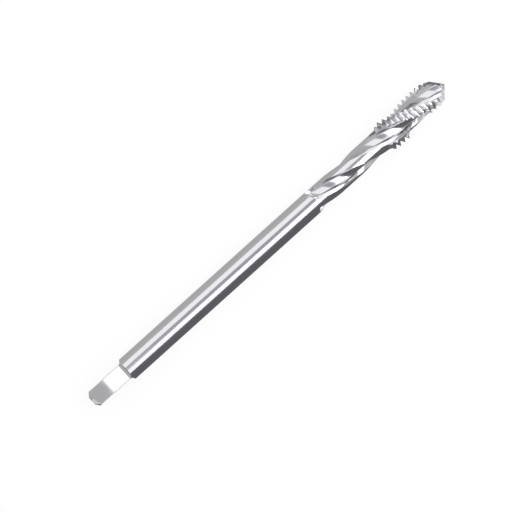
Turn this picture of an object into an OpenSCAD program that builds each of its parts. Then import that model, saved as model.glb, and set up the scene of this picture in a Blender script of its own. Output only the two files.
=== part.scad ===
// Thread tap for machine and hand use: one ground piece of high-speed steel with a square
// drive, a reduced shank and a head with three right-hand spiral flutes, a tapered lead and
// a male centre at its point. It lies along X on the crests of its thread, point towards +X,
// with the origin on the surface below its middle.

/* [Overall] */
// Length from the end of the square to the point
total_l = 84; // [70:0.5:110]
// Length of the fluted head, from the front of the shank to the point
head_l = 31.4; // [24:0.1:40]

/* [Shank] */
// Diameter of the shank
shank_d = 4.5; // [4.2:0.05:5.4]

/* [Square drive] */
// Width across the flats of the square
square_w = 3.2; // [2.9:0.05:3.7]
// Length from the end to the shoulder of the flats
square_l = 8.4; // [6:0.1:14]
// Radius that the grinding wheel leaves at the shoulder of each flat
shoulder_r = 0.7; // [0.3:0.05:1.2]
// Length of the cone that breaks the corners at the end
end_cone_l = 1.1; // [0.4:0.05:1.8]
// Diameter of the flat left in the middle of the end
end_flat_d = 1.6; // [0.8:0.1:2.6]

/* [Thread] */
// Diameter over the crests of the thread
thread_d = 6; // [5.6:0.05:7]
// Pitch of the thread
thread_p = 1; // [0.7:0.05:1.25]
// Length of the thread, measured from the point
thread_l = 14.85; // [10:0.05:20]
// Depth of the thread, from its crest to its sharp root
thread_depth = 0.76; // [0.4:0.02:0.8]
// Width of the flat on the crest
crest_w = 0.13; // [0.05:0.01:0.3]
// Length of the bevel where the thread runs out at the neck
back_l = 0.9; // [0.3:0.1:2]
// Length of the tapered lead, on which the first threads cut
lead_l = 2; // [1:0.1:6]

/* [Point] */
// Length of the male centre
point_l = 1.8; // [1:0.1:3]
// Diameter of the male centre where it meets the lead
point_d = 4.3; // [3.6:0.05:4.4]

/* [Flutes] */
// Number of flutes
flutes = 3; // [2:1:4]
// Length in which a flute turns once round the tap
flute_lead = 38.2; // [25:0.1:80]
// Diameter of the core that the flutes leave
core_d = 2.4; // [2:0.05:2.8]
// Radius of the shallow bottom of a flute
bottom_r = 6; // [4:0.5:12]
// Radius of the corner between that bottom and the cutting face
corner_r = 0.35; // [0.2:0.05:0.5]
// Angle that each land takes round the tap
land_angle = 42; // [34:1:50]
// Angle from a cutting face to the deepest place of its flute
deep_angle = 36; // [30:1:42]
// Angle that the bevel behind each land takes
bevel_angle = 16; // [10:1:20]
// Depth of that bevel where it falls into the flute
bevel_drop = 0.2; // [0.1:0.05:0.3]
// Diameter of the lands in the neck behind the thread
neck_d = 4.4; // [3.8:0.05:4.44]
// Length over which a flute rises out to the lands at the shank
run_out_l = 1.6; // [1:0.1:6]
// Length by which that rise is hidden in the front of the shank
run_out_lap = 0.3; // [0.1:0.05:0.9]
// Angle of the first cutting face where the head leaves the shank
flute_turn = 98.4; // [0:0.2:120]

/* [Hidden] */

// How far a cutting tool passes the surface that it cuts
over = 1;
shank_r = shank_d / 2;
shank_l = total_l - head_l;
thread_r = thread_d / 2;
root_r = thread_r - thread_depth;
neck_r = neck_d / 2;
point_r = point_d / 2;
core_r = core_d / 2;
// Places along the head, from the front of the shank
thread_z = head_l - thread_l;
cone_z = head_l - point_l;
lead_z = cone_z - lead_l;
// Turn of the flutes for each millimetre of length
flute_rate = 360 / flute_lead;
// Pitch of the thread measured along a flute, which turns the same way
flute_p = thread_p * flute_lead / (flute_lead - thread_p);
crest_share = crest_w / thread_p;

pitch_angle = 360 / flutes;
flute_angle = pitch_angle - land_angle;
// Circle of the bottom, whose centre is out over the deepest place
bottom_far = core_r + bottom_r;
// Centre of the corner, which touches the cutting face and the bottom
corner_up = bottom_far * cos(deep_angle)
    - sqrt(pow(bottom_r - corner_r, 2) - pow(bottom_far * sin(deep_angle) - corner_r, 2));
corner_far = norm([corner_up, corner_r]);
corner_turn = atan2(corner_r, corner_up);
corner_reach = bottom_r / (bottom_r - corner_r);
corner_end = atan2(bottom_far * sin(deep_angle) * (1 - corner_reach) + corner_r * corner_reach,
    bottom_far * cos(deep_angle) * (1 - corner_reach) + corner_up * corner_reach);
// Distance from the axis to a circle on the near side, looking out at an angle from its centre
function near_side(far, r, a) = far * cos(a) - sqrt(max(0, r * r - pow(far * sin(a), 2)));
// Radius of the flute's surface at an angle from its cutting face
function section_radius(a) = a < corner_end ? near_side(corner_far, corner_r, a - corner_turn)
    : near_side(bottom_far, bottom_r, a - deep_angle);

// Angles of the wall that carries the bevel, and its radius at the top
wall_top = flute_angle - bevel_angle;
wall_angle = 7;
wall_foot = wall_top - wall_angle;
bevel_r = neck_r - bevel_drop;
// Angle within which the surface drops from a land into the next flute, so that the cutting
// edge and the heel are sharp
edge_angle = 0.35;

// Columns of one flute and its land: down the cutting face, round the corner, over the
// bottom, up the wall, over the bevel and over the land. Each column is its angle from the
// cutting face and the flute's radius there.
corner_shares = [0, 0.25, 0.6, 1];
bottom_shares = [0.2, 0.4, 0.6, 0.8, 0.94];
land_shares = [0, 0.25, 0.5, 0.75, 1];
foot_r = section_radius(wall_foot);
function flute_columns(start) = concat(
    [for (s = corner_shares) [start + s * corner_end, section_radius(s * corner_end)]],
    [for (s = bottom_shares) let (a = corner_end + s * (wall_foot - corner_end))
        [start + a, section_radius(a)]],
    [[start + wall_foot + wall_angle / 6, foot_r + (bevel_r - foot_r) / 8],
        [start + wall_foot + wall_angle / 2, (foot_r + bevel_r) / 2],
        [start + wall_top, bevel_r],
        [start + wall_top + bevel_angle / 2, neck_r - bevel_drop / 2],
        [start + flute_angle - edge_angle, neck_r]],
    [for (s = land_shares) let (a = flute_angle + s * (land_angle - edge_angle))
        [start + a, thread_r]]);
columns = [for (i = [0 : flutes - 1]) each flute_columns(i * pitch_angle)];

// Share of a pitch by which a column stands forward, so that each row follows the thread.
// The rows come back by a whole pitch in the first flute, where there is no thread.
function forward_share(a) =
    lookup(a, [[0, 1], [flute_angle, flute_angle / 360], [360, 1]]) - 1 / 2;

// Rows along the head: place, share of the thread's slant, and 1 on a crest or 0 on a root
run_out_shares = [0, 0.12, 0.25, 0.45, 0.65, 0.82, 1];
run_out_z = run_out_l - run_out_lap;
neck_steps = 11;
neck_end = thread_z - flute_p / 2;
run_out_rows = [for (s = run_out_shares) [s * run_out_l - run_out_lap, 0, 0]];
neck_rows = [for (i = [1 : neck_steps]) let (s = i / neck_steps)
    [run_out_z + s * (neck_end - run_out_z), s, 0]];
tooth_shares = [[0, 0], [(1 - crest_share) / 2, 1], [(1 + crest_share) / 2, 1]];
turns = ceil((cone_z - thread_z) / flute_p);
thread_rows = [for (i = [0 : turns]) for (t = tooth_shares)
    let (z = thread_z + flute_p * (i + t[0]))
    if (z < cone_z - thread_p / 8) [z, 1, t[1]]];
point_shares = [0, 0.22, 0.45, 0.68, 0.88];
point_rows = [for (s = point_shares) [cone_z + s * point_l, 1 - s, 0]];
rows = concat(run_out_rows, neck_rows, thread_rows, point_rows);

// Radius of the blank that the flutes are ground into
function blank_radius(z, crest) =
    let (back = neck_r + (z - thread_z) * (thread_r - neck_r) / back_l)
    let (lead = thread_r - (z - lead_z) * (thread_r - point_r) / lead_l)
    let (cone = (head_l - z) * point_r / point_l)
    let (tooth = max(neck_r, min(crest == 1 ? thread_r : root_r, back)))
    min(tooth, max(lead, 0), max(cone, 0));
// Radius of the flute as it rises out of the blank at the shank
function flute_radius(z, at_r) = let (t = max(0, 1 - (z + run_out_lap) / run_out_l))
    at_r + max(0, neck_r - at_r) * t * t;
function head_point(row, column) =
    let (z = row[0] + row[1] * flute_p * forward_share(column[0]))
    let (a = column[0] + flute_turn + flute_rate * z)
    let (r = min(blank_radius(z, row[2]), flute_radius(z, column[1])))
    [r * cos(a), r * sin(a), z];

// Fluted and threaded head along Z, as one grid of columns along the flutes and rows along
// the thread, closed by a small cone inside the shank and by its point
module head() {
    across = len(columns);
    last = len(rows) - 1;
    points = concat([for (row = rows) for (column = columns) head_point(row, column)],
        [[0, 0, -run_out_lap - neck_r / 4], [0, 0, head_l]]);
    rear = len(points) - 2;
    sides = [for (k = [0 : last - 1]) for (j = [0 : across - 1])
        let (a = k * across + j, b = k * across + (j + 1) % across)
        each [[a, a + across, b + across], [a, b + across, b]]];
    ends = [for (j = [0 : across - 1]) let (n = (j + 1) % across)
        each [[j, n, rear], [last * across + n, last * across + j, rear + 1]]];
    polyhedron(points, concat(sides, ends), convexity = 8);
}

// What the wheel takes off beside one flat, as an outline across it with a rounded shoulder
shoulder_steps = 8;
module flat_cut() {
    flat_x = square_w / 2;
    outer = shank_d + over;
    arc = [for (i = [0 : shoulder_steps]) let (a = 90 * i / shoulder_steps)
        [flat_x + shoulder_r * (1 - cos(a)), square_l - shoulder_r * (1 - sin(a))]];
    rotate([90, 0, 0])
        translate([0, 0, -shank_d])
        linear_extrude(height = 2 * shank_d)
        polygon(concat([[outer, -over], [flat_x, -over]], arc, [[outer, square_l]]));
}

// Shank along Z with its broken end, less the four flats of the square drive
module shank() {
    difference() {
        rotate_extrude($fn = 96)
            polygon([[0, 0], [end_flat_d / 2, 0], [shank_r, end_cone_l],
                [shank_r, shank_l], [0, shank_l]]);
        for (turn = [0 : 90 : 270])
            rotate([0, 0, turn])
            flat_cut();
    }
}

module thread_tap() {
    color("lightsteelblue")
        translate([-total_l / 2, 0, thread_r])
        rotate([0, 90, 0])
        union() {
            shank();
            translate([0, 0, shank_l])
                head();
        }
}

thread_tap();
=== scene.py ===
import math

import bpy
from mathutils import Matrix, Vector


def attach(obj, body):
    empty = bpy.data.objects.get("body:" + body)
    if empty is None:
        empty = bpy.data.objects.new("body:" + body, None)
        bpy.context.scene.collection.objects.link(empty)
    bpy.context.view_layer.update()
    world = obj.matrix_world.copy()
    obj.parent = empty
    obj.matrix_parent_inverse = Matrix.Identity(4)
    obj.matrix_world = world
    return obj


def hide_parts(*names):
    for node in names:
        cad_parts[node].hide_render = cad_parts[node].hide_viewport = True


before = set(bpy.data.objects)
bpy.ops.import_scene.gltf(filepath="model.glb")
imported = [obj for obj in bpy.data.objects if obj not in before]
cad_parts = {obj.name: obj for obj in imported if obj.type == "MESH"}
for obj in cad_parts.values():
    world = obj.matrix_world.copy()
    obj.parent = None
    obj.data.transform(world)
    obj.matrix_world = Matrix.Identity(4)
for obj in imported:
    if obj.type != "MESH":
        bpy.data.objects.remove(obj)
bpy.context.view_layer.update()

# A thread tap with spiral flutes, modelled the way it is made: a bar is turned, a thread
# groove is cut round it, three flutes are ground along it and four flats across its end.
# Shapes are drawn in millimetres from the end of the square, with the axis on X, and the
# finished tap is then brought to its place and to metres.

MM = 0.001

# Sizes of the tap, in mm
TOTAL_L = 84.0
HEAD_L = 31.4
SHANK_R = 2.25
SQUARE_W = 3.2
SQUARE_L = 8.4
SHOULDER_R = 0.7
END_CONE_L = 1.1
END_FLAT_R = 0.8
THREAD_R = 3.0
PITCH = 1.0
THREAD_L = 14.85
THREAD_DEPTH = 0.76
CREST_W = 0.13
ROOT_ROUND = 0.09
BACK_L = 0.9
LEAD_L = 2.0
POINT_L = 1.8
POINT_R = 2.15
NECK_R = 2.2
FLUTES = 3
FLUTE_LEAD = 38.2
CORE_R = 1.2
BOTTOM_R = 6.0
CORNER_R = 0.35
BEVEL_DROP = 0.2
RUN_OUT_L = 1.3
RUN_OUT_LIFT = 0.66
# Angles round the tap: a land, from a cutting face to the deepest place of its flute, the
# bevel behind a land, the wall under it, and the first cutting face at the shank
LAND = math.radians(42)
DEEP = math.radians(36)
BEVEL = math.radians(16)
WALL = math.radians(7)
FLUTE_TURN = math.radians(98.4)

SHANK_L = TOTAL_L - HEAD_L
THREAD_X = TOTAL_L - THREAD_L
POINT_X = TOTAL_L - POINT_L
LEAD_X = POINT_X - LEAD_L
ROOT_R = THREAD_R - THREAD_DEPTH

# How finely round things are drawn
ROUND_STEPS = 168
THREAD_STEPS = 84
FLUTE_STEPS = 78
CORNER_STEPS = 8
ROOT_STEPS = 4
BOTTOM_STEPS = 14
# How far a cutter stands out of what it cuts
OVER = 0.4

# View: width of the picture and the place below its middle, in mm, and the turn of the camera
VIEW_W = 90.68
VIEW_X = -3.21
VIEW_Y = -0.34
VIEW_TURN = math.radians(-41.984)

# Finish of the steel: roughness, how much the clouds add to it at most, how much duller the
# thread is and how much smoother the flats are
SATIN = 0.13
CLOUDS = 0.06
THREAD_DULLER = 0.02
FLAT_SMOOTHER = 0.13
CLOUD_SIZE = 4
# Grinding marks: distance between two, their length along the flutes and round the shank,
# the depth that the bump gets, and how strong it is there and how much less on the flats
MARK_W = 0.12
FLUTE_MARK_L = 8
RING_MARK_L = 6
MARK_DEPTH = 0.02
MARK_STRENGTH = 0.04
FLAT_FEWER = 0.038
# Colour of the steel, and of the thread, painted lighter than the steel so that its flanks shine
# whiter and the shade between them is lifted
STEEL = "#C6C6C8"
THREAD_STEEL_PAINTED_LIGHTER = "#DCDCDE"


def deselect():
    bpy.ops.object.select_all(action="DESELECT")


def edit(piece):
    """Opens one piece in edit mode with all of it selected."""
    deselect()
    piece.select_set(True)
    bpy.context.view_layer.objects.active = piece
    bpy.ops.object.mode_set(mode="EDIT")
    bpy.ops.mesh.select_all(action="SELECT")


def done():
    bpy.ops.object.mode_set(mode="OBJECT")


def trace(name, points, filled=False):
    """Draws a line through the points by extruding one vertex, and fills it if it is a section."""
    deselect()
    bpy.ops.mesh.primitive_plane_add(size=1)
    piece = bpy.context.object
    piece.name = name
    edit(piece)
    bpy.ops.mesh.merge(type="CENTER")
    bpy.ops.transform.translate(value=points[0])
    for start, end in zip(points, points[1:]):
        bpy.ops.mesh.extrude_region_move(TRANSFORM_OT_translate={"value": end - start})
    if filled:
        bpy.ops.mesh.select_all(action="SELECT")
        bpy.ops.mesh.edge_face_add()
    done()
    return piece


def outward():
    """Merges doubled vertices of the open piece and points its faces outwards."""
    bpy.ops.mesh.select_all(action="SELECT")
    bpy.ops.mesh.remove_doubles(threshold=1e-4)
    bpy.ops.mesh.normals_make_consistent(inside=False)


def turned_blank():
    """Bar turned to the tap's outline, spun from half of its section."""
    shank_rings = 18
    neck_rings = 30
    outline = [(0, 0), (0, END_FLAT_R), (END_CONE_L, SHANK_R)]
    outline += [(END_CONE_L + (SHANK_L - END_CONE_L) * i / shank_rings, SHANK_R)
                for i in range(1, shank_rings + 1)]
    outline += [(SHANK_L + (THREAD_X - SHANK_L) * i / neck_rings, NECK_R)
                for i in range(neck_rings + 1)]
    outline += [(THREAD_X + BACK_L, THREAD_R), (LEAD_X, THREAD_R), (POINT_X, POINT_R),
                (TOTAL_L, 0)]
    blank = trace("ground_tap", [Vector((x, 0, -r)) for x, r in outline])
    edit(blank)
    bpy.ops.mesh.spin(steps=ROUND_STEPS, angle=math.tau, center=(0, 0, 0), axis=(1, 0, 0))
    outward()
    done()
    return blank


def thread_groove():
    """Right-hand helix of the space between the crests, swept by a Screw modifier."""
    half = (PITCH - CREST_W) / 2
    slope = half / THREAD_DEPTH
    lean = math.atan(slope)
    top = THREAD_R + CREST_W / 4
    wide = half + slope * CREST_W / 4
    # Where the groove first passes straight below the axis, in pitches behind the thread
    pitches_behind = 1.45
    first_x = THREAD_X - pitches_behind * PITCH
    turns = math.ceil((POINT_X - first_x) / PITCH) + 1
    # The root is round and touches both flanks
    root_up = ROOT_R + ROOT_ROUND / math.sin(lean)
    root = []
    for i in range(ROOT_STEPS + 1):
        a = (math.pi / 2 - lean) * (2 * i / ROOT_STEPS - 1)
        root.append((first_x + ROOT_ROUND * math.sin(a), root_up - ROOT_ROUND * math.cos(a)))
    section = [(first_x - wide, top)] + root + [(first_x + wide, top), (first_x, top + OVER)]
    groove = trace("groove", [Vector((x, 0, -r)) for x, r in section], filled=True)
    edit(groove)
    bpy.ops.mesh.delete(type="ONLY_FACE")
    done()
    screw = groove.modifiers.new("screw", "SCREW")
    screw.axis = "X"
    screw.angle = math.tau
    screw.screw_offset = PITCH
    screw.iterations = turns
    screw.steps = THREAD_STEPS
    screw.render_steps = THREAD_STEPS
    bpy.ops.object.modifier_apply(modifier=screw.name)
    edit(groove)
    bpy.ops.mesh.select_all(action="DESELECT")
    bpy.ops.mesh.select_non_manifold()
    bpy.ops.mesh.fill_holes(sides=0)
    outward()
    done()
    return groove


def near_side(far, r, angle):
    """Distance from the axis to a circle, on its near side, at an angle from its centre."""
    return far * math.cos(angle) - math.sqrt(max(0.0, r ** 2 - (far * math.sin(angle)) ** 2))


def flute_section():
    """Points across one flute, as angle from its cutting face and distance from the axis:
    cutting face, corner, bottom, wall, bevel, heel and open rim."""
    rim_r = THREAD_R + OVER
    heel = math.tau / FLUTES - LAND
    wall_top = heel - BEVEL
    wall_foot = wall_top - WALL
    bottom_far = CORE_R + BOTTOM_R
    bottom_up = bottom_far * math.cos(DEEP)
    bottom_side = bottom_far * math.sin(DEEP)
    # The corner touches the cutting face and the bottom
    corner_up = bottom_up - math.sqrt(
        (BOTTOM_R - CORNER_R) ** 2 - (bottom_side - CORNER_R) ** 2)
    corner_far = math.hypot(corner_up, CORNER_R)
    corner_turn = math.atan2(CORNER_R, corner_up)
    reach = BOTTOM_R / (BOTTOM_R - CORNER_R)
    corner_end = math.atan2(bottom_side * (1 - reach) + CORNER_R * reach,
                            bottom_up * (1 - reach) + corner_up * reach)

    face_steps = 6
    section = [(0.0, rim_r + (corner_up - rim_r) * i / face_steps) for i in range(face_steps)]
    for i in range(CORNER_STEPS):
        a = corner_end * (i / CORNER_STEPS) ** 2
        section.append((a, near_side(corner_far, CORNER_R, a - corner_turn)))
    for i in range(BOTTOM_STEPS + 1):
        a = corner_end + (wall_foot - corner_end) * i / BOTTOM_STEPS
        section.append((a, near_side(bottom_far, BOTTOM_R, a - DEEP)))
    # The wall rises slowly at first, so that its foot is round
    foot_r = section[-1][1]
    bevel_r = NECK_R - BEVEL_DROP
    section += [(wall_foot + WALL / 6, foot_r + (bevel_r - foot_r) / 8),
                (wall_foot + WALL / 2, (foot_r + bevel_r) / 2)]
    bevel_steps = 4
    section += [(wall_top + BEVEL * i / bevel_steps, bevel_r + BEVEL_DROP * i / bevel_steps)
                for i in range(bevel_steps + 1)]
    heel_steps = 4
    section += [(heel, NECK_R + (rim_r - NECK_R) * i / heel_steps)
                for i in range(1, heel_steps + 1)]
    rim_steps = 8
    section += [(heel * (1 - i / rim_steps), rim_r) for i in range(1, rim_steps)]
    return section


def flute_cutters():
    """One flute's section drawn along its helix, and its copies round the tap."""
    rate = math.tau / FLUTE_LEAD
    deepest = FLUTE_TURN + DEEP
    length = HEAD_L + OVER
    run_out_steps = 6
    places = [RUN_OUT_L * i / run_out_steps for i in range(run_out_steps + 1)]
    places += [RUN_OUT_L + (length - RUN_OUT_L) * i / FLUTE_STEPS
               for i in range(1, FLUTE_STEPS + 1)]

    def lift(x):
        rise = max(0.0, 1 - x / RUN_OUT_L)
        return RUN_OUT_LIFT * rise * rise

    def out(bearing, r):
        return Vector((0, r * math.sin(bearing), -r * math.cos(bearing)))

    shank_front = Vector((SHANK_L, 0, 0)) + out(deepest, lift(0))
    cutters = trace("flutes", [shank_front + out(FLUTE_TURN + angle, r)
                               for angle, r in flute_section()], filled=True)
    edit(cutters)
    for here, there in zip(places, places[1:]):
        turn = rate * (there - here)
        bpy.ops.mesh.extrude_region_move(TRANSFORM_OT_translate={"value": (there - here, 0, 0)})
        bpy.ops.transform.rotate(value=-turn, orient_axis="X", center_override=(0, 0, 0))
        sink = lift(here) - lift(there)
        if sink > 0:
            bpy.ops.transform.translate(value=-out(deepest + rate * there, sink))
    outward()
    done()
    return copies_around(cutters, FLUTES)


def copies_around(piece, count):
    """The cutter and its copies evenly round the axis, each copy with its own mesh."""
    cutters = [piece]
    for i in range(1, count):
        deselect()
        piece.select_set(True)
        bpy.context.view_layer.objects.active = piece
        bpy.ops.object.duplicate()
        copy = bpy.context.object
        copy.rotation_euler.x = i * math.tau / count
        bpy.ops.object.transform_apply(location=False, rotation=True, scale=False)
        cutters.append(copy)
    return cutters


def flat_cutters():
    """What the wheel takes off beside the four flats, with its round corner at the shoulder."""
    flat = SQUARE_W / 2
    steps = 10
    outline = [(-OVER, SHANK_R + OVER), (-OVER, flat)]
    for i in range(steps + 1):
        a = math.pi / 2 * i / steps
        outline.append((SQUARE_L - SHOULDER_R * (1 - math.sin(a)),
                        flat + SHOULDER_R * (1 - math.cos(a))))
    outline.append((SQUARE_L, SHANK_R + OVER))
    side = SHANK_R + OVER
    cutters = trace("flats", [Vector((x, -side, z)) for x, z in outline], filled=True)
    edit(cutters)
    bpy.ops.mesh.extrude_region_move(TRANSFORM_OT_translate={"value": (0, 2 * side, 0)})
    outward()
    done()
    return copies_around(cutters, 4)


def cut(piece, cutter):
    """Takes one solid out of the piece and deletes it."""
    deselect()
    bpy.context.view_layer.objects.active = piece
    boolean = piece.modifiers.new("cut", "BOOLEAN")
    boolean.operation = "DIFFERENCE"
    boolean.solver = "MANIFOLD"
    boolean.object = cutter
    bpy.ops.object.modifier_apply(modifier=boolean.name)
    bpy.data.objects.remove(cutter)


def ground_tap():
    """The whole tap, ground from one bar."""
    tap = turned_blank()
    for cutter in [thread_groove()] + flute_cutters() + flat_cutters():
        cut(tap, cutter)
    edit(tap)
    bpy.ops.transform.translate(value=(-TOTAL_L / 2, 0, THREAD_R))
    bpy.ops.transform.resize(value=(MM, MM, MM), center_override=(0, 0, 0))
    done()
    deselect()
    tap.select_set(True)
    bpy.context.view_layer.objects.active = tap
    sharp_angle = math.radians(28)
    bpy.ops.object.shade_smooth_by_angle(angle=sharp_angle)
    # Large faces keep their own normals, so that the flats of the square stay flat to the eye
    weighted = tap.modifiers.new("normals", "WEIGHTED_NORMAL")
    weighted.keep_sharp = True
    bpy.ops.object.modifier_apply(modifier=weighted.name)
    return tap


def linear(code):
    """Turns a hex sRGB colour into the linear one that shaders use."""
    channels = [int(code[i:i + 2], 16) / 255 for i in (1, 3, 5)]
    return [c / 12.92 if c <= 0.04045 else ((c + 0.055) / 1.055) ** 2.4 for c in channels] + [1]


def add(tree, kind, settings=None, links=None, output=0):
    """Adds a node, sets its values, links its inputs and returns one of its outputs."""
    node = tree.nodes.new(kind)
    for key, value in (settings or {}).items():
        if isinstance(key, str) and hasattr(node, key):
            setattr(node, key, value)
        else:
            node.inputs[key].default_value = value
    for key, source in (links or {}).items():
        tree.links.new(source, node.inputs[key])
    return node.outputs[output]


def ground_steel():
    """High-speed steel, ground all over and left bright. The shank is ground round, so fine
    rings draw its reflections out softly. The flutes carry lines along their helix, the flats
    of the square are the smoothest, and the thread is a little duller. The thread's colour is
    painted lighter than the rest, as painted light that lifts the shade between its flanks."""
    material = bpy.data.materials.new("ground_high_speed_steel")
    material.use_nodes = True
    tree = material.node_tree
    shader = tree.nodes["Principled BSDF"]
    shader.inputs["Metallic"].default_value = 1.0

    # Place with the tap's axis on X, and the distance from that axis
    place = add(tree, "ShaderNodeTexCoord", output="Object")
    centred = add(tree, "ShaderNodeMapping", {"Location": (0, 0, -THREAD_R * MM)},
                  {"Vector": place})
    split = add(tree, "ShaderNodeSeparateXYZ", None, {"Vector": centred}).node.outputs
    along = split["X"]
    across = add(tree, "ShaderNodeVectorMath", {"operation": "MULTIPLY", 1: (0, 1, 1)},
                 {0: centred})
    radius = add(tree, "ShaderNodeVectorMath", {"operation": "LENGTH"}, {0: across}, "Value")

    # 1 in the flutes and on the flats, 0 on what is round
    ground_in = add(tree, "ShaderNodeMapRange",
                    {"From Min": (NECK_R - 0.03) * MM, "From Max": (NECK_R - 0.01) * MM,
                     "To Min": 1.0, "To Max": 0.0}, {"Value": radius})
    # 1 ahead of the square
    ahead_x = SQUARE_L + 1 - TOTAL_L / 2
    ahead = add(tree, "ShaderNodeMapRange",
                {"From Min": (ahead_x - 0.1) * MM, "From Max": (ahead_x + 0.1) * MM},
                {"Value": along})
    in_flute = add(tree, "ShaderNodeMath", {"operation": "MULTIPLY"}, {0: ground_in, 1: ahead})
    flat = add(tree, "ShaderNodeMath", {"operation": "SUBTRACT"}, {0: ground_in, 1: in_flute})
    # 1 on the flanks and crests of the thread
    thread_x = THREAD_X - TOTAL_L / 2
    beyond_shank = add(tree, "ShaderNodeMapRange",
                       {"From Min": (SHANK_R + 0.02) * MM, "From Max": (SHANK_R + 0.06) * MM},
                       {"Value": radius})
    beyond_neck = add(tree, "ShaderNodeMapRange",
                      {"From Min": (thread_x - 0.1) * MM, "From Max": (thread_x + 0.1) * MM},
                      {"Value": along})
    threaded = add(tree, "ShaderNodeMath", {"operation": "MULTIPLY"},
                   {0: beyond_shank, 1: beyond_neck})

    # Rings of the round grinding. Real ones are finer, and these are as coarse as it takes
    # to show at this size.
    rings = add(tree, "ShaderNodeMapping",
                {"Scale": (1 / (MARK_W * MM), 1 / (RING_MARK_L * MM), 1 / (RING_MARK_L * MM))},
                {"Vector": centred})
    ring_marks = add(tree, "ShaderNodeTexNoise",
                     {"Scale": 1.0, "Detail": 3.0, "Roughness": 0.6}, {"Vector": rings})
    # Lines along the flutes: the bearing round the axis, less the turn of the helix
    bearing = add(tree, "ShaderNodeMath", {"operation": "ARCTAN2"},
                  {0: split["Y"], 1: split["Z"]})
    turn = add(tree, "ShaderNodeMath",
               {"operation": "MULTIPLY", 1: math.tau / (FLUTE_LEAD * MM)}, {0: along})
    unwound = add(tree, "ShaderNodeMath", {"operation": "ADD"}, {0: bearing, 1: turn})
    line_x = add(tree, "ShaderNodeMath", {"operation": "MULTIPLY", 1: NECK_R / MARK_W},
                 {0: unwound})
    line_y = add(tree, "ShaderNodeMath", {"operation": "DIVIDE", 1: FLUTE_MARK_L * MM},
                 {0: along})
    line_z = add(tree, "ShaderNodeMath", {"operation": "DIVIDE", 1: 0.5 * MM}, {0: radius})
    lines = add(tree, "ShaderNodeCombineXYZ", None, {"X": line_x, "Y": line_y, "Z": line_z})
    flute_marks = add(tree, "ShaderNodeTexNoise",
                      {"Scale": 1.0, "Detail": 3.0, "Roughness": 0.6}, {"Vector": lines})
    marks = add(tree, "ShaderNodeMix", {"data_type": "FLOAT"},
                {0: in_flute, 2: ring_marks, 3: flute_marks})
    fewer = add(tree, "ShaderNodeMath", {"operation": "MULTIPLY", 1: FLAT_FEWER}, {0: flat})
    strength = add(tree, "ShaderNodeMath", {"operation": "SUBTRACT", 0: MARK_STRENGTH},
                   {1: fewer})
    bump = add(tree, "ShaderNodeBump", {"Distance": MARK_DEPTH * MM},
               {"Height": marks, "Strength": strength})
    tree.links.new(bump, shader.inputs["Normal"])

    # Cloudy difference in the finish, so that no stretch mirrors quite like the next
    clouds = add(tree, "ShaderNodeTexNoise", {"Scale": 1 / (CLOUD_SIZE * MM), "Detail": 2.0},
                 {"Vector": place})
    satin = add(tree, "ShaderNodeMath", {"operation": "MULTIPLY_ADD", 1: CLOUDS, 2: SATIN},
                {0: clouds})
    duller = add(tree, "ShaderNodeMath", {"operation": "MULTIPLY_ADD", 1: THREAD_DULLER},
                 {0: threaded, 2: satin})
    finish = add(tree, "ShaderNodeMath", {"operation": "MULTIPLY_ADD", 1: -FLAT_SMOOTHER},
                 {0: flat, 2: duller})
    tree.links.new(finish, shader.inputs["Roughness"])
    # Painted light: the thread is coloured lighter than the rest of the steel, which lifts the
    # shade between its flanks
    colour = add(tree, "ShaderNodeMix",
                 {"data_type": "RGBA", 6: linear(STEEL), 7: linear(THREAD_STEEL_PAINTED_LIGHTER)},
                 {0: threaded}, 2)
    tree.links.new(colour, shader.inputs["Base Color"])
    return material


def floor():
    """Pale matt table. Camera, mirrors and glass see it mostly lit from within, so that it is
    white and the tap's shadow on it is faint."""
    deselect()
    bpy.ops.mesh.primitive_plane_add(size=3.0)
    table = bpy.context.object
    table.name = "table"
    material = bpy.data.materials.new("pale_table")
    material.use_nodes = True
    tree = material.node_tree
    shader = tree.nodes["Principled BSDF"]
    shader.inputs["Base Color"].default_value = linear("#F5F5F5")
    shader.inputs["Roughness"].default_value = 0.9
    shader.inputs["Specular IOR Level"].default_value = 0.0
    ray = add(tree, "ShaderNodeLightPath").node.outputs
    mirror = add(tree, "ShaderNodeMath", {"operation": "ADD"},
                 {0: ray["Is Glossy Ray"], 1: ray["Is Transmission Ray"]})
    seen = add(tree, "ShaderNodeMath", {"operation": "ADD"},
               {0: ray["Is Camera Ray"], 1: mirror})
    share_from_within = 0.9
    share = add(tree, "ShaderNodeMath", {"operation": "MULTIPLY", 1: share_from_within},
                {0: seen})
    white = add(tree, "ShaderNodeEmission", {"Color": (1, 1, 1, 1), "Strength": 1.0})
    mix = add(tree, "ShaderNodeMixShader", None,
              {0: share, 1: shader.outputs["BSDF"], 2: white})
    tree.links.new(mix, tree.nodes["Material Output"].inputs["Surface"])
    table.data.materials.append(material)


def lamp(name, place, turn, size, radiance, tint):
    """A rectangular lamp that the camera doesn't see. Place and size are in metres."""
    data = bpy.data.lights.new(name, "AREA")
    data.shape = "RECTANGLE"
    data.size, data.size_y = size
    data.color = linear(tint)[:3]
    data.energy = radiance * math.pi * size[0] * size[1]
    box = bpy.data.objects.new(name, data)
    box.location = place
    box.rotation_euler = turn
    box.visible_camera = False
    bpy.context.scene.collection.objects.link(box)


def softbox(name, bearing, half_width, span, distance, radiance, tint="#F9F8FF"):
    """A softbox along the tap, aimed at its axis. Bearing and half width are angles in degrees,
    the bearing from straight above towards -Y. Span is its two ends along the tap."""
    width = 2 * distance * math.tan(math.radians(half_width))
    a = math.radians(bearing)
    place = ((span[0] + span[1]) / 2, -distance * math.sin(a),
             THREAD_R * MM + distance * math.cos(a))
    lamp(name, place, (a, 0, 0), (span[1] - span[0], width), radiance, tint)


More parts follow.
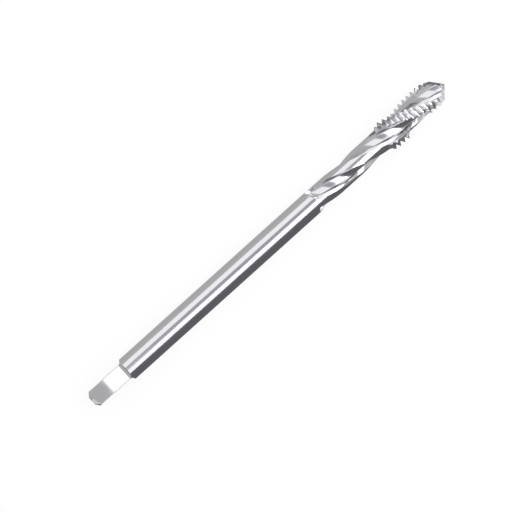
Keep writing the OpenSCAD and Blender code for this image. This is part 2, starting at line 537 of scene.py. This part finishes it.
def only_mirrored(piece, code):
    """Makes a card glow in its colour and hides it from all but mirrors."""
    material = bpy.data.materials.new(piece.name)
    material.use_nodes = True
    shader = material.node_tree.nodes["Principled BSDF"]
    shader.inputs["Base Color"].default_value = (0, 0, 0, 1)
    shader.inputs["Specular IOR Level"].default_value = 0.0
    shader.inputs["Emission Color"].default_value = linear(code)
    shader.inputs["Emission Strength"].default_value = 1.0
    piece.data.materials.append(material)
    piece.visible_camera = False
    piece.visible_diffuse = False
    piece.visible_shadow = False


def overhead_card():
    """A level card that only mirrors see, over the tap between the lamps on its left and its
    right. It draws the dark line on the shank."""
    rear, front, left, right, height = -0.0395, 0.03, 0.069, -0.032, 0.2
    deselect()
    bpy.ops.mesh.primitive_plane_add(size=1, location=(0, 0, THREAD_R * MM + height))
    piece = bpy.context.object
    piece.name = "overhead_card"
    edit(piece)
    bpy.ops.transform.resize(value=(front - rear, left - right, 1))
    bpy.ops.transform.translate(value=((front + rear) / 2, (left + right) / 2, 0))
    done()
    only_mirrored(piece, "#BEBEC9")


def card(name, code, side, rear, front, top=0):
    """A card that only mirrors see, on the table at one side of the tap, bent up to a height at
    its far edge. Rear and front are each its end beside the tap and at the far edge."""
    near, far = side * 0.001, side * 0.2
    deselect()
    bpy.ops.mesh.primitive_plane_add(size=1, location=(0, 0, 0.1 * MM))
    piece = bpy.context.object
    piece.name = name
    edit(piece)
    bpy.ops.transform.translate(value=(0.5, 0.5, 0))
    bpy.ops.mesh.select_all(action="DESELECT")
    done()
    for vertex in piece.data.vertices:
        beside = vertex.co.y < 0.5
        ends = front if vertex.co.x > 0.5 else rear
        vertex.co.x = ends[0] if beside else ends[1]
        vertex.co.y = near if beside else far
        vertex.select = not beside
    if top:
        bpy.ops.object.mode_set(mode="EDIT")
        bpy.ops.mesh.extrude_region_move(TRANSFORM_OT_translate={"value": (0, 0, top)})
        done()
    only_mirrored(piece, code)


def studio():
    """A pale room. Its lamps give the light bands of the shank, the white of the flutes, the
    thread and the flat of the square. Its cards give the tap's edges their greys and the shank
    its dark line."""
    softbox("left_box", bearing=-41, half_width=20.5, span=(-0.3, 0.4), distance=1.2,
            radiance=0.82, tint="#FFFFFF")
    softbox("right_box", bearing=28.5, half_width=18.5, span=(-0.045, 0.1), distance=0.2,
            radiance=1.35)
    softbox("head_box", bearing=25, half_width=22, span=(0.022, 0.065), distance=0.2,
            radiance=2.5, tint="#FBFAFF")
    softbox("front_top_box", bearing=-5, half_width=14, span=(0.053, 0.2), distance=0.2,
            radiance=1.4, tint="#FBFAFF")
    softbox("square_box", bearing=0, half_width=5, span=(-0.0449, -0.0398), distance=0.2,
            radiance=1.4, tint="#FBFAFF")
    lamp("front_box", place=(0.4, 0.1, 0.25), turn=(0, math.radians(90), 0), size=(0.45, 1.0),
         radiance=1.2, tint="#FFFFFF")
    # Painted shade seen only in reflections: the dark card stands for the table beside the tap as
    # if it lay in shade, and its far edge rises into a dark flag
    card("dark_card", "#757579", side=-1, rear=(-0.044, -0.12), front=(0.034, 0.06), top=0.193)
    card("pale_card", "#D2D2D2", side=1, rear=(-0.3, -0.3), front=(0.026, 0.026))
    # Painted shade seen only in reflections: the head card stands for the table beside the head as
    # if it lay in shade
    card("head_card", "#8A8A8C", side=1, rear=(0.026, 0.026), front=(0.12, 0.12))
    overhead_card()
    world = bpy.data.worlds.new("studio")
    bpy.context.scene.world = world
    world.use_nodes = True
    room = world.node_tree.nodes["Background"]
    room.inputs["Color"].default_value = linear("#D8D8D9")
    room.inputs["Strength"].default_value = 1.0


def camera():
    """Looks straight down from far off, turned so that the point is up to the right."""
    data = bpy.data.cameras.new("camera")
    data.lens = 400
    data.sensor_width = 36
    height = VIEW_W * data.lens / data.sensor_width
    lens = bpy.data.objects.new("camera", data)
    lens.location = (VIEW_X * MM, VIEW_Y * MM, (THREAD_R + height) * MM)
    lens.rotation_euler = (0, 0, VIEW_TURN)
    bpy.context.scene.collection.objects.link(lens)
    bpy.context.scene.camera = lens


camera()
studio()
floor()
tap = ground_tap()
tap.data.materials.clear()
tap.data.materials.append(ground_steel())
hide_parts("thread_tap")
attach(tap, "root")
bpy.context.scene.view_settings.view_transform = "Standard"
